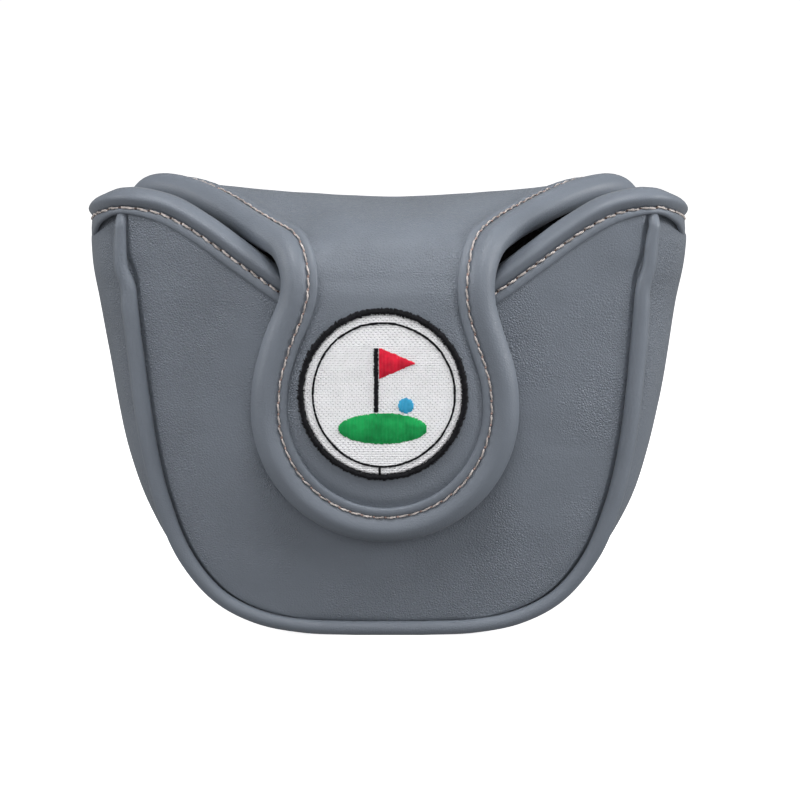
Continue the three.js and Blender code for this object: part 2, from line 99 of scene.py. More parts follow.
NUDGE = 4e-3  # the step, as a share of a curve, over which its direction is read
# The piping, by height: its radius, and how far it is pulled in from the outline on the left and the right.
WELT_Z = [0, 10, 30, 50, 68, 76, 80.5, 84.5, 90, 97]
WELT_R = [1.72, 1.75, 1.9, 1.95, 1.95, 1.9, 1.75, 1.6, 1.55, 1.3]
WELT_IN = {
    -1: [0, 0.2, 0.8, 0.9, 0.95, 1.05, 1.65, 0.85, 1.3, 2.1],
    1: [0, 0.2, 0.9, 1.2, 1.7, 2.2, 2.8, 2.3, 2.4, 1.8],
}

# x and z down the right half of the pouch's outline, from the rim to where it runs straight along the floor
OUTLINE = [
    (62.2, 94), (61.5, 86), (59.9, 77.5), (58.4, 66), (57, 54.3), (55.2, 42.7), (52.2, 30.6), (46.9, 18.7),
    (38.8, 9.3), (29.9, 4.6), (19.5, 2.5), (8, 2),
]
# y and z along the flap's middle line, from the back over the mouth to the neck
FLAP_CENTRE = [
    (21.8, 92.6), (21.3, 94.8), (17.6, 96.8), (8.5, 97.1), (0, 96.8), (-9.5, 95.7), (-18.5, 93.4),
    (-25.2, 88.7), (-27.9, 82),
]
# x, y and z along the crest of the flap's right edge, from the back corner to the neck
FLAP_EDGE = [
    (59.2, 17.8, 92.6), (59.4, 17.6, 96.4), (58, 14, 101.3), (53.2, 7.2, 102.7), (45, -0.5, 101.4),
    (37, -9.5, 98.7), (29.9, -18.8, 94.9), (25.4, -25.5, 89.6), (23.8, -27.9, 82),
]
# x and z along the tongue's right side, from the neck to its round end
TONGUE_EDGE = [(23.8, 82), (23.9, 78.5), (25.2, 73.8), (27.7, 66.7), (29.7, 60.2), (DISC_R, DISC_Z)]


# ---- Curves and surfaces ----
def unit(v):
    return v / np.maximum(np.linalg.norm(v, axis=-1, keepdims=True), 1e-12)


def lerp(a, b, t):
    return a + (b - a) * t


def smooth(t):
    t = np.clip(t, 0, 1)
    return t * t * (3 - 2 * t)


def xyz(x, y, z):
    return np.stack(np.broadcast_arrays(x, y, z), -1)


def distances(points):
    """How far each point lies from the first, measured along the row of points."""
    return np.concatenate([[0], np.cumsum(np.linalg.norm(np.diff(points, axis=0), axis=1))])


def read_rows(where, keys, rows):
    """Rows of numbers that belong to ascending keys, read anywhere between them."""
    return np.stack([np.interp(where, keys, column) for column in rows.T], -1)


def rounded_end(distance, reach):
    """A quarter-round taper: almost 0 at an end, and 1 from that reach on."""
    share = np.clip(distance / reach, 0.02, 1)
    return np.sqrt(share * (2 - share))


class Curve:
    """A centripetal Catmull-Rom curve, read by its parameter or by its share of the length."""

    def __init__(self, points, tail=None, samples=160):
        pts = np.array(points, float)
        ends = np.vstack([2 * pts[0] - pts[1], pts, 2 * pts[-1] - pts[-2]])
        w = np.linspace(0, 1, samples, endpoint=False)[:, None]
        dense = []
        for p0, p1, p2, p3 in zip(ends, ends[1:], ends[2:], ends[3:]):
            d0, d1, d2 = (math.sqrt(np.linalg.norm(b - a)) for a, b in ((p0, p1), (p1, p2), (p2, p3)))
            t1 = d1 * ((p1 - p0) / d0 - (p2 - p0) / (d0 + d1) + (p2 - p1) / d1)
            t2 = d1 * ((p2 - p1) / d1 - (p3 - p1) / (d1 + d2) + (p3 - p2) / d2)
            square = -3 * p1 + 3 * p2 - 2 * t1 - t2
            cube = 2 * p1 - 2 * p2 + t1 + t2
            dense.append(p1 + t1 * w + square * w**2 + cube * w**3)
        self.p = np.vstack([*dense, pts[-1:]])
        self.t = np.linspace(0, 1, len(self.p))
        if tail is not None:
            straight = pts[-1] + (np.array(tail) - pts[-1]) * np.linspace(0, 1, samples)[1:, None]
            self.p = np.vstack([self.p, straight])
            self.t = np.linspace(0, 1, len(self.p))
        run = distances(self.p)
        self.length = run[-1]
        self.s = run / self.length

    def at(self, t):
        return read_rows(t, self.t, self.p)

    def along(self, s):
        return read_rows(s, self.s, self.p)

    def slant(self, t):
        """The curve's direction by its parameter."""
        return unit(self.at(np.clip(t + NUDGE, 0, 1)) - self.at(np.clip(t - NUDGE, 0, 1)))

    def direction(self, s):
        """The curve's direction by its share of the length."""
        return unit(self.along(np.clip(s + NUDGE, 0, 1)) - self.along(np.clip(s - NUDGE, 0, 1)))


outline = Curve(OUTLINE, tail=(0, PIPING_R))
flap_centre = Curve(FLAP_CENTRE)
flap_edge = Curve(FLAP_EDGE)
tongue_side = Curve(TONGUE_EDGE)


def half_depth(z):
    return HALF_DEPTH_LOW + DEPTH_FLARE * z


def on_outline(s, out=0.0):
    """x and z of a point on the right half of the outline, moved out along its normal. s is 0 at the top and
    1 at the floor."""
    p = outline.along(s)
    d = outline.direction(s)
    return p[..., 0] - d[..., 1] * out, p[..., 1] + d[..., 0] * out


def rim_z(x):
    return RIM_LOW + RIM_RISE * smooth(np.clip(np.abs(x) / 60, 0, 1) ** 1.15)


def rim_up(x):
    """The direction square to the rim's line, in the plane of the front."""
    slope = (rim_z(x + 0.1) - rim_z(x - 0.1)) / 0.2
    return unit(xyz(-slope, 0 * slope, 1.0))


def back_z(x):
    return BACK_TOP + 0 * x


def welt_radius(z):
    return np.interp(z, WELT_Z, WELT_R)


def welt_in(hand, z):
    """How far the piping is pulled in on the left (-1) or right (1), eased between the listed heights."""
    near = [np.interp(z + step, WELT_Z, WELT_IN[hand]) for step in (-1.2, -0.4, 0.4, 1.2)]
    return sum(near) / len(near)


def pulled_in(x, z):
    return np.where(x < 0, welt_in(-1, z), welt_in(1, z))


def welt_out(z):
    """The thinner piping near the floor keeps its outer side on the outline."""
    return (PIPING_R - welt_radius(z)) * (1 - smooth((z - 12) / 20))


def panel(side, top):
    """The outer face of the front (side -1) or back (1) panel. v is 0 at its top and 1 at its lower seam."""
    def surface(u, v):
        s = lerp(0.01, 0.86, np.clip(v, None, 1))
        base_z = outline.along(s)[..., 1]
        edge_x, edge_z = on_outline(s, welt_out(base_z) - welt_radius(base_z) + 0.1)
        top_x, top_z = on_outline(0.01, -SEAM_IN)
        x = u * edge_x - np.sign(u) * pulled_in(u, edge_z) * np.abs(u) ** 3
        dip = (top(np.clip(u, -1, 1) * top_x) - top_z) * np.clip(1 - v, 0, 1) ** 1.5
        z = edge_z + dip - 0.4 * (1 - u * u) * np.clip(v, 0, 1) ** 6 - PANEL_RUN * np.clip(v - 1, 0, None)
        rounding = 1 - (1 - np.clip((z - 4) / 45, 0, 1)) ** 2.2
        bulge = PANEL_BULGE * (1 - np.clip(np.abs(u), 0, 1) ** 2.4) * rounding
        return xyz(x, side * (half_depth(z) + PANEL_PROUD + bulge), z)
    return surface


def under_rim(face, tuck=3.2):
    """The front panel's face with a strip added above v = 0, which runs up inside the rim's binding."""
    def surface(u, v):
        base = face(u, np.clip(v, 0, None))
        return base + rim_up(base[..., 0]) * (tuck * np.clip(-v, 0, 1) / 0.03)[..., None]
    return surface


def gusset_face(t, v):
    """The gusset's outer face. t runs round the outline from the left corner, a little past both ends to go
    in under the rim. v runs from -1 at the front seam to 1 at the back seam."""
    side = np.where(t < 0.5, -1.0, 1.0)
    s = 1 - np.abs(2 * t - 1)
    past = np.clip(-s, 0, None)
    s = np.clip(s, 0, 1)
    _, base_z = on_outline(s)
    swell = np.sin(np.pi / 2 * np.clip((base_z - 2 * PIPING_R) / 80, 0, 1)) ** 0.8
    x, z = on_outline(s, 0.3 + GUSSET_BULGE * swell * (1 - np.clip(v * v, 0, 1)))
    reach = half_depth(base_z) - welt_radius(base_z) - 0.15
    x = x - pulled_in(side, base_z) * np.clip(v * v, 0, 1) - 0.3 * smooth((base_z - 15) / 25)
    z = z + outline.length * past * smooth((0.2 - v) / 0.4)
    tuck = smooth((z - 90.5) / 3)
    return xyz(side * (x - 1.1 * tuck * (1 - 0.5 * v * v)), v * reach, z)


def bridge(u, v):
    """The middle of the flap's sheet over the mouth. u is -1 and 1 at the crests of its edges, v is 0 at the
    back and 1 at the neck. The back corners stand out and sink, and the left edge bulges before the neck."""
    middle = flap_centre.at(v)
    edge = flap_edge.at(v)
    share = u * u
    rear_rise = np.abs(u) ** (1.65 + 0.35 * smooth((v - 0.3) / 0.3))
    sag = np.where(u < 0, FLAP_SAG[-1], FLAP_SAG[1]) * np.sin(np.pi * np.clip((v - 0.35) / 0.65, 0, 1)) ** 1.4
    z = lerp(middle[..., 1], edge[..., 2], rear_rise) - sag * smooth((np.abs(u) - 0.25) / 0.4)
    rear = u**4 * (1 - smooth((v - 0.3) / 0.25))
    out = np.where(u < 0, -CORNER_OUT[-1], CORNER_OUT[1]) * rear
    out = out - np.where(u < 0, 1.1 * u**4 * np.exp(-(((v - 0.72) / 0.1) ** 2)), 0)
    sink = np.where(u < 0, CORNER_SINK[-1], CORNER_SINK[1])
    return xyz(u * edge[..., 0] + out, lerp(middle[..., 0], edge[..., 1], share), z - sink * rear)


def hang(points):
    """Points of the tongue, moved as its round end hangs, with its left side let out below the neck."""
    let_out = np.exp(-(((points[..., 2:] - 72) / 7) ** 2)) * np.clip(-points[..., :1] / 25, 0, 1) ** 2
    return points + smooth((NECK_Z - points[..., 2:]) / 22) * DISC_HANG - let_out * [0.9, 0, 0]


def tongue_y(x, z):
    bend = 0.007 * np.clip(z - 76, 0, None) ** 2 + 0.0025 * np.clip(44 - z, 0, None) ** 2
    return -TONGUE_OUT - TONGUE_LEAN * z + bend + 0.5 * (x / DISC_R) ** 2


def tongue_half(z, inset):
    """Half the tongue's width at a height, at a distance inside its crest."""
    r = DISC_R - inset
    round_half = np.sqrt(np.clip(r * r - (z - DISC_Z) ** 2, 0, None))
    t = np.interp(-z, -tongue_side.p[:, 1], tongue_side.t)
    direction = tongue_side.slant(t)
    side_half = tongue_side.at(t)[..., 0] - inset / np.sqrt(1 - direction[..., 0] ** 2)
    return np.where(z <= DISC_Z, round_half, side_half)


TONGUE_EVEN = 0.55  # the tongue's rows are even over this share of its fall, and then close up


def flap_sheet(inset):
    """The whole flap's middle surface inside its crest. v is 0 at the back, 1 at the neck and 2 at the end.
    The bend at the neck is eased over a few millimetres."""
    low = DISC_Z - DISC_R + inset + 0.2

    def surface(u, v):
        upper = np.clip(v, 0, 1)
        edge = flap_edge.at(upper)
        slant = flap_edge.slant(upper)
        share = 1 - inset / np.sqrt(1 - slant[..., 0] ** 2) / edge[..., 0]
        over = bridge(u * share, upper)
        fall = np.clip(v - 1, 0, 1)
        turn = TONGUE_EVEN + 0.45 * np.sin((fall - TONGUE_EVEN) / 0.45 * math.pi / 2)
        z = lerp(NECK_Z, low, np.where(fall < TONGUE_EVEN, fall, turn)) - np.clip(v - 2, 0, None)
        x = u * np.maximum(tongue_half(z, inset), 1.5)
        return np.where((v <= 1)[..., None], over, hang(xyz(x, tongue_y(x, z), z)))

    def eased(u, v):
        near = 0.08 * np.clip(1 - np.abs(v - 1) / 0.16, 0, 1)
        return sum(surface(u, v + step * near) for step in (-1, -0.5, 0, 0.5, 1)) / 5
    return eased


def normals(surface, u, v, e=2e-3):
    along = surface(u + e, v) - surface(u - e, v)
    down = surface(u, v + e) - surface(u, v - e)
    return unit(np.cross(down, along))


# ---- Soft relief ----
def waves(points, length, seed, count=10):
    """A smooth random field, from -1 to 1, over points in millimetres, with waves of about that length."""
    source = np.random.default_rng(seed)
    total = np.zeros(points.shape[:-1])
    for _ in range(count):
        k = unit(source.normal(size=3)) * TAU / (length * source.uniform(0.7, 1.5))
        total += np.sin(points @ k + source.uniform(0, TAU))
    return total / math.sqrt(count) / 1.5


def crease(points, start, end, width, depth):
    """A shallow line pressed into the front between two places in x and z."""
    p = points[..., [0, 2]]
    a, b = np.array(start, float), np.array(end, float)
    t = np.clip((p - a) @ (b - a) / ((b - a) @ (b - a)), 0, 1)
    gap = np.linalg.norm(p - (a + t[..., None] * (b - a)), axis=-1)
    return -depth * np.exp(-(gap / width) ** 2) * np.sin(np.pi * np.clip(t, 0.02, 0.98)) ** 0.5


# ---- Meshes ----
def make_mesh(name, points, faces, material):
    """Points in millimetres, with y from the pouch's middle, become a mesh in the frame."""
    mesh = bpy.data.meshes.new(name)
    moved = (np.asarray(points).reshape(-1, 3) + [0, MIDDLE_Y, 0]) * MM
    mesh.from_pydata(moved.tolist(), [], faces)
    mesh.validate()
    mesh.shade_smooth()
    mesh.set_sharp_from_angle(angle=SMOOTH_UP_TO)
    mesh.materials.append(material)
    piece = bpy.data.objects.new(name, mesh)
    bpy.context.scene.collection.objects.link(piece)
    return piece


def grid_faces(rows, columns, start=0, wrap=False, flip=False):
    faces = []
    for j in range(rows - 1):
        for i in range(columns if wrap else columns - 1):
            k = (i + 1) % columns
            quad = [start + j * columns + i, start + j * columns + k]
            quad += [start + (j + 1) * columns + k, start + (j + 1) * columns + i]
            faces.append(quad[::-1] if flip else quad)
    return faces


def tube_faces(rows, columns, start=0):
    """The faces of a tube of closed rings, and its two end caps."""
    last = start + (rows - 1) * columns
    caps = [[start + k for k in range(columns)][::-1], [last + k for k in range(columns)]]
    return grid_faces(rows, columns, start, wrap=True) + caps


def slab(name, outer, inner, material):
    """A closed sheet between two grids of points, (rows, columns, 3), its edges closed by straight strips."""
    rows, columns, _ = outer.shape
    size = rows * columns
    faces = grid_faces(rows, columns, 0, flip=True) + grid_faces(rows, columns, size)
    rim = list(range(columns))
    rim += [j * columns + columns - 1 for j in range(1, rows)]
    rim += [(rows - 1) * columns + i for i in range(columns - 2, -1, -1)]
    rim += [j * columns for j in range(rows - 2, 0, -1)]
    for a, b in zip(rim, rim[1:] + rim[:1]):
        faces.append([a, b, size + b, size + a])
    points = np.concatenate([outer.reshape(-1, 3), inner.reshape(-1, 3)])
    return outward(make_mesh(name, points, faces, material))


def outward(piece):
    """Turns a closed mesh's faces out."""
    mesh = piece.data
    mesh.calc_loop_triangles()
    corners = np.array([v.co for v in mesh.vertices])
    tri = np.array([t.vertices for t in mesh.loop_triangles])
    a, b, c = (corners[tri[:, k]] for k in range(3))
    if np.einsum("ij,ij->i", a, np.cross(b, c)).sum() < 0:
        mesh.flip_normals()
    return piece


def sheet_piece(name, surface, us, vs, near, far, material, relief=None):
    """A sheet that follows a surface between two distances along its normal."""
    u, v = np.meshgrid(us, vs)
    base = surface(u, v)
    out = normals(surface, u, v)
    lift = 0 if relief is None else relief(base, u, v)
    outer = base + out * (np.zeros(u.shape) + far + lift)[..., None]
    inner = base + out * (np.zeros(u.shape) + near + lift)[..., None]
    return slab(name, outer, inner, material)


def sweep(name, frames, section, material):
    """A closed section, (frames, points, 2) as inward and normal distances, swept along frames."""
    origin, inward, normal = frames
    points = origin[:, None] + inward[:, None] * section[..., :1] + normal[:, None] * section[..., 1:]
    return outward(make_mesh(name, points, tube_faces(*points.shape[:2]), material))


# ---- Crest frames of the bindings ----
def rim_frames(count):
    face = panel(-1, rim_z)
    us = np.array([0, 0.2, 0.4, 0.58, 0.74, 0.87])
    low = face(us, 0 * us)
    front = low + [0, WALL / 2, 0] + rim_up(low[:, 0]) * (RIM_BAND["width"] + 0.6)
    corner = [(58.2, -16.2, 102.9), (62.6, -10.6, 101.4)]
    side = [(64.6, 0, 99.3), (64, 7, 99.5), (62.6, 13.2, 99.6)]
    half = np.vstack([front, corner, side])
    crest = Curve(np.vstack([(half * [-1, 1, 1])[:0:-1], half]))
    s = np.linspace(0, 1, count)
    tangent = crest.direction(s)
    flat = unit(xyz(tangent[:, 1], -tangent[:, 0], 0 * s))
    inward = unit(np.cross(flat, tangent))
    inward = np.where(inward[:, 2:] > 0, -inward, inward)
    return crest.along(s), inward, flat, crest.length * s


def evened(field, reach):
    """Rows averaged with as many neighbours on each side, its ends kept."""
    padded = np.pad(field, ((reach, reach), (0, 0)), mode="reflect", reflect_type="odd")
    kernel = np.ones(2 * reach + 1) / (2 * reach + 1)
    return np.stack([np.convolve(column, kernel, mode="valid") for column in padded.T], -1)


def flap_frames(step):
    """The flap's whole crest, from the left back corner round the tongue to the right back corner."""
    v = np.linspace(0, 1, 400)
    left = bridge(0 * v - 1, v)
    left_normal = normals(bridge, 0 * v - 1, v)
    side = tongue_side.at(np.linspace(0, 1, 200)[1:-1])
    arc = np.linspace(0, math.pi / 2, 200)
    x = np.concatenate([side[:, 0], DISC_R * np.cos(arc)])
    z = np.concatenate([side[:, 1], DISC_Z - DISC_R * np.sin(arc)])
    lower = xyz(-x, tongue_y(x, z), z)
    slope = tongue_y(x, z + 0.5) - tongue_y(x, z - 0.5)
    lower_normal = unit(xyz(0 * x, -1 + 0 * x, slope))
    half_normal = np.vstack([left_normal, lower_normal])
    mirror = [-1, 1, 1]
    right = bridge(0 * v + 1, v)
    points = np.vstack([left, hang(lower), hang((lower * mirror)[-2::-1]), right[::-1]])
    normal = np.vstack([half_normal, (half_normal * mirror)[-2::-1]])
    run = distances(points)
    s = np.linspace(0, run[-1], int(run[-1] / step) + 1)
    origin = evened(read_rows(s, run, points), 5)
    normal = unit(evened(read_rows(s, run, normal), 9))
    tangent = unit(np.gradient(origin, axis=0))
    inward = unit(np.cross(normal, tangent))
    normal = unit(np.cross(tangent, inward))
    return origin, inward, normal, s


def binding_section(band, s, seed, wider=0.0):
    """The binding's profile at each distance s, on both faces: a roll, the seam's valley and a sewn strip."""
    half = band["half"]
    a = band["stitch"]
    w = band["width"] + wider
    outer = [
        (0.0, 0.30, 1), (0.05 * a, 0.45, 1), (0.12 * a, 0.63, 1), (0.2 * a, 0.78, 1), (0.3 * a, 0.9, 1),
        (0.4 * a, 0.97, 1), (0.5 * a, 1.0, 1), (0.6 * a, 0.98, 1), (0.7 * a, 0.93, 1), (0.79 * a, 0.86, 1),
        (0.87 * a, 0.79, 1), (0.93 * a, 0.72, 1), (0.97 * a, 0.66, 1), (a, 0.22, 0), (a + 0.2, 0.45, 2),
        (a + 0.45, 0.7, 2), (lerp(a, w, 0.5), 0.82, 2), (w - 0.45, 0.78, 2), (w - 0.2, 0.62, 2), (w, 0.1, 2),
    ]
    pull = 0.5 + 0.5 * np.cos(TAU * s / STITCH_PITCH)
    lumps = waves(np.stack([s, 0 * s, 0 * s], -1), 19, seed)
    rows = []
    for away, high, kind in outer:
        if kind == 1:
            height = (half + 1.45 + 0.10 * lumps) * high
            height = height - 0.12 * pull * (away / a) ** 5
        else:
            height = half + high - (0.12 if kind == 0 else 0.05) * pull
        rows.append(np.stack([away + 0 * s, height], -1))
    under = [(w - 0.15, half - 0.25), (a - 0.6, half - 0.3)]
    front = np.stack(rows, 1)
    flange = np.stack([np.stack([away + 0 * s, low + 0 * s], -1) for away, low in under], 1)
    mirrored = [1, -1]
    return np.concatenate([front, flange, (flange * mirrored)[:, ::-1], (front * mirrored)[:, ::-1]], 1)


STITCH_ARCH = 0.42
STITCH_TWIST = 7.0
KNOT_ALONG = np.array([-0.24, -0.1, 0.1, 0.24])
KNOT_RADII = 0.26 * np.array([0.45, 1, 1, 0.45])


def stitch_row(name, frames, band, thick, hole_shade, face=1, start=0.0, stop=1.0):
    """Separate stitches along a binding: two plies of twisted thread each, and a tight knot at each hole
    whose dark colour is painted shade.
    """
    origin, inward, normal, _ = frames
    line = origin + inward * (band["stitch"] + 0.05)
    run = distances(line)
    count = int(run[-1] * (stop - start) / STITCH_PITCH)
    sides, rings = 6, 11
    angle = np.linspace(0, TAU, sides, endpoint=False)
    share = np.linspace(0, 1, rings)
    blocks, faces, hole_shade_faces = [], [], []

    def directions(where):
        return unit(read_rows(where, run, inward)), unit(read_rows(where, run, normal * face))

    def tube(centre, across, up, radius, marked):
        ring = across[:, None] * np.cos(angle)[None, :, None] + up[:, None] * np.sin(angle)[None, :, None]
        new = tube_faces(len(centre), sides, sum(len(block) for block in blocks))
        blocks.append((centre[:, None] + ring * radius[:, None, None]).reshape(-1, 3))
        faces.extend(new)
        hole_shade_faces.extend([marked] * len(new))

    for i in range(count):
        begin = run[-1] * start + (i + 0.08) * STITCH_PITCH + rng.normal(0, 0.06)
        length = STITCH_PITCH * 0.84 + rng.normal(0, 0.05)
        where = begin + length * share
        across, up = directions(where)
        skew = (2 * share - 1) * rng.normal(0.12, 0.05) + rng.normal(0, 0.04)
        arch = band["half"] + 0.3 + STITCH_ARCH * np.sin(math.pi * share) ** 0.5 + rng.normal(0, 0.03)
        centre = read_rows(where, run, line) + across * skew[:, None] + up * arch[:, None]
        twist = STITCH_TWIST * share + rng.uniform(0, TAU)
        radius = thick * (0.62 + 0.12 * np.sin(math.pi * share))
        for phase in (0, math.pi):
            turn = twist + phase
            ply = across * np.cos(turn)[:, None] + up * np.sin(turn)[:, None]
            tube(centre + ply * 0.5 * thick, across, up, radius, 0)
        where = begin - 0.2 + KNOT_ALONG
        across, up = directions(where)
        centre = read_rows(where, run, line) + up * (band["half"] + 0.42)
        tube(centre, across, up, KNOT_RADII, 1)
    piece = make_mesh(name, np.concatenate(blocks), faces, thread)
    # The knots take the darker material: painted shade at the stitch holes.
    piece.data.materials.append(hole_shade)
    piece.data.polygons.foreach_set("material_index", hole_shade_faces)
    return outward(piece)


# ---- Materials ----
def shader(name, base, roughness, **settings):
    material = bpy.data.materials.new(name)
    material.use_nodes = True
    bsdf = material.node_tree.nodes["Principled BSDF"]
    bsdf.inputs["Base Color"].default_value = (*base, 1)
    bsdf.inputs["Roughness"].default_value = roughness
    for socket, value in settings.items():
        bsdf.inputs[socket.replace("_", " ")].default_value = value
    return material, bsdf


class Nodes:
    """Short hands for the procedural part of a material."""

    def __init__(self, material):
        self.tree = material.node_tree
        self.place = self.tree.nodes.new("ShaderNodeTexCoord").outputs["Object"]

    def add(self, kind, inputs=None, **properties):
        node = self.tree.nodes.new(kind)
        for key, value in properties.items():
            setattr(node, key, value)
        for key, value in (inputs or {}).items():
            if isinstance(value, bpy.types.NodeSocket):
                self.tree.links.new(value, node.inputs[key])
            else:
                node.inputs[key].default_value = value
        return node

    def noise(self, scale, detail=3.0, rough=0.5):
        settings = {"Vector": self.place, "Scale": scale, "Detail": detail, "Roughness": rough}
        return self.add("ShaderNodeTexNoise", settings).outputs["Fac"]

    def cells(self, scale, feature="F1"):
        settings = {"Vector": self.place, "Scale": scale}
        return self.add("ShaderNodeTexVoronoi", settings, feature=feature).outputs["Distance"]

    def fit(self, value, low, high, to_low, to_high):
        settings = {0: value, 1: low, 2: high, 3: to_low, 4: to_high}
        return self.add("ShaderNodeMapRange", settings).outputs[0]

    def math(self, operation, a, b=0.0):
        return self.add("ShaderNodeMath", {0: a, 1: b}, operation=operation).outputs[0]

    def mix(self, factor, a, b):
        return self.add("ShaderNodeMix", {0: factor, 6: (*a, 1), 7: (*b, 1)}, data_type="RGBA").outputs[2]

    def bump(self, height, strength, distance, normal=None):
        settings = {"Height": height, "Strength": strength, "Distance": distance}
        if normal is not None:
            settings["Normal"] = normal
        return self.add("ShaderNodeBump", settings).outputs["Normal"]

    def link(self, value, socket):
        self.tree.links.new(value, socket)


def shade(colour, factor):
    return tuple(channel * factor for channel in colour)


def leather_material(name, colour, grain):
    """Satin synthetic leather: a fine pebble grain, pores, and a faint mottle."""
    settings = {"Specular_IOR_Level": 0.42, "Sheen_Weight": 0.05, "Sheen_Roughness": 0.4}
    material, bsdf = shader(name, colour, 0.46, **settings)
    n = Nodes(material)
    mottle = n.fit(n.noise(55, 4), 0.3, 0.7, 0, 1)
    patchy = n.fit(n.noise(34, 3), 0.4, 0.6, 0.25, 1)
    pebble = n.fit(n.cells(1650, "DISTANCE_TO_EDGE"), 0.0, 0.3, 0, 1)
    grained = n.math("MULTIPLY", pebble, patchy)
    tone = n.math("ADD", n.math("MULTIPLY", mottle, 0.55), n.math("MULTIPLY", grained, 0.45 * grain))
    n.link(n.mix(tone, shade(colour, 0.92), shade(colour, 1.12)), bsdf.inputs["Base Color"])
    n.link(n.fit(n.noise(900, 3), 0.3, 0.7, 0.40, 0.54), bsdf.inputs["Roughness"])
    fine = n.bump(n.noise(3600, 3), 0.3 * grain, 0.0001)
    soft = n.bump(n.noise(700, 3), 0.35 * grain, 0.0002, fine)
    n.link(n.bump(grained, 0.85 * grain, 0.00018, soft), bsdf.inputs["Normal"])
    return material


def thread_material(name, colour, scale=2600, spread=0.16, sheen=0.3):
    """Twisted polyester thread: fine slanted plies and a slight change of shade from place to place."""
    settings = {"Specular_IOR_Level": sheen, "Sheen_Weight": sheen, "Sheen_Roughness": 0.35}
    material, bsdf = shader(name, colour, 0.6, **settings)
    n = Nodes(material)
    tone = n.fit(n.noise(420, 2), 0.3, 0.7, 0, 1)
    n.link(n.mix(tone, shade(colour, 1 - spread), shade(colour, 1 + spread)), bsdf.inputs["Base Color"])
    plies = n.add("ShaderNodeTexWave", {"Vector": n.place, "Scale": scale, "Distortion": 1.5, "Detail": 2.0})
    n.link(n.bump(plies.outputs["Fac"], 0.4, 0.00006), bsdf.inputs["Normal"])
    return material


def pile_material(name, colour, scale, sheen):
    """Short pile or open foam: a rough broken surface."""
    material, bsdf = shader(name, colour, 0.95, Sheen_Weight=sheen, Sheen_Roughness=0.5)
    n = Nodes(material)
    tuft = n.noise(scale, 4, 0.65)
    tone = n.fit(tuft, 0.35, 0.7, 0, 1)
    n.link(n.mix(tone, shade(colour, 0.55), shade(colour, 1.5)), bsdf.inputs["Base Color"])
    n.link(n.bump(tuft, 0.9, 0.0005), bsdf.inputs["Normal"])
    return material


def steel_material():
    material, bsdf = shader("nickel", (0.55, 0.55, 0.54), 0.3, Metallic=1.0)
    n = Nodes(material)
    n.link(n.fit(n.noise(700, 3), 0.3, 0.7, 0.24, 0.4), bsdf.inputs["Roughness"])
    return material


SLATE = (0.160, 0.182, 0.216)
leather = leather_material("leather", SLATE, 1.0)
smooth_leather = leather_material("binding_leather", SLATE, 0.3)
thread = thread_material("taupe_thread", (0.52, 0.47, 0.445), 2600, 0.35, 0.15)
# Dark ties at the rim's stitch holes: painted shade where the thread goes down into the leather.
knot_hole_shade = thread_material("thread_knots_hole_shade", (0.10, 0.07, 0.062), 2600, 0.3, 0.1)
# The flap's ties: painted shade at its stitch holes, tinted red-brown.
bead_hole_shade = thread_material("thread_beads_hole_shade", (0.42, 0.29, 0.26), 2600, 0.3, 0.15)
plush = pile_material("plush", (0.005, 0.005, 0.006), 1500, 0.08)
foam = pile_material("foam", (0.03, 0.03, 0.034), 2400, 0.0)
cord = thread_material("filler_cord", (0.5, 0.48, 0.43), 900)
nickel = steel_material()
twill_white = thread_material("white_embroidery", (0.95, 0.95, 0.97), 1500, 0.03, 0.1)
# Darker grey for the sunken ends of the twill's stitches: painted shade in those pits.
twill_pit_shade = thread_material("embroidery_painted_pit_shade", (0.34, 0.34, 0.36), 1500, 0.1, 0.0)
black = thread_material("black_embroidery", (0.008, 0.008, 0.010), 3000, 0.3, 0.1)
red = thread_material("red_embroidery", (0.70, 0.02, 0.05), 3000, 0.25, 0.1)
green = thread_material("green_embroidery", (0.015, 0.34, 0.09), 3000, 0.25, 0.1)
blue = thread_material("blue_embroidery", (0.06, 0.44, 0.72), 3000, 0.25, 0.1)


# ---- Camera, floor and lights ----
CAMERA_AIM = Vector((0.00267, MIDDLE_Y * MM, 0.0527))
CAMERA_AWAY = 0.9
CAMERA_UP = math.radians(6)
CAMERA_LENS = 174.7


def make_camera():
    data = bpy.data.cameras.new("camera")
    data.lens = CAMERA_LENS
    data.sensor_width = 36
    camera = bpy.data.objects.new("camera", data)
    camera.location = CAMERA_AIM + CAMERA_AWAY * Vector((0, -math.cos(CAMERA_UP), math.sin(CAMERA_UP)))
    camera.rotation_euler = (math.pi / 2 - CAMERA_UP, 0, 0)
    bpy.context.scene.collection.objects.link(camera)
    bpy.context.scene.camera = camera


def make_floor():
    """A plain white floor that sends no light back up onto the cover."""
    mesh = bpy.data.meshes.new("floor")
    mesh.from_pydata([(-40, -40, 0), (40, -40, 0), (40, 60, 0), (-40, 60, 0)], [], [(0, 1, 2, 3)])
    material, bsdf = shader("floor", (0.9, 0.9, 0.9), 0.9, Specular_IOR_Level=0.0)
    bsdf.inputs["Emission Color"].default_value = (1, 1, 1, 1)
    bsdf.inputs["Emission Strength"].default_value = 0.88
    n = Nodes(material)
    n.link(n.mix(n.noise(3, 2), (0.89, 0.89, 0.89), (0.91, 0.91, 0.91)), bsdf.inputs["Base Color"])
    mesh.materials.append(material)
    floor = bpy.data.objects.new("floor", mesh)
    floor.visible_diffuse = False
    floor.visible_glossy = False
    bpy.context.scene.collection.objects.link(floor)


def area_light(name, place, aim, size, power):
    data = bpy.data.lights.new(name, "AREA")
    data.shape = "DISK"
    data.size = size
    data.energy = power
    light = bpy.data.objects.new(name, data)
    light.location = place
    light.rotation_euler = (Vector(aim) - Vector(place)).to_track_quat("-Z", "Y").to_euler()
    bpy.context.scene.collection.objects.link(light)


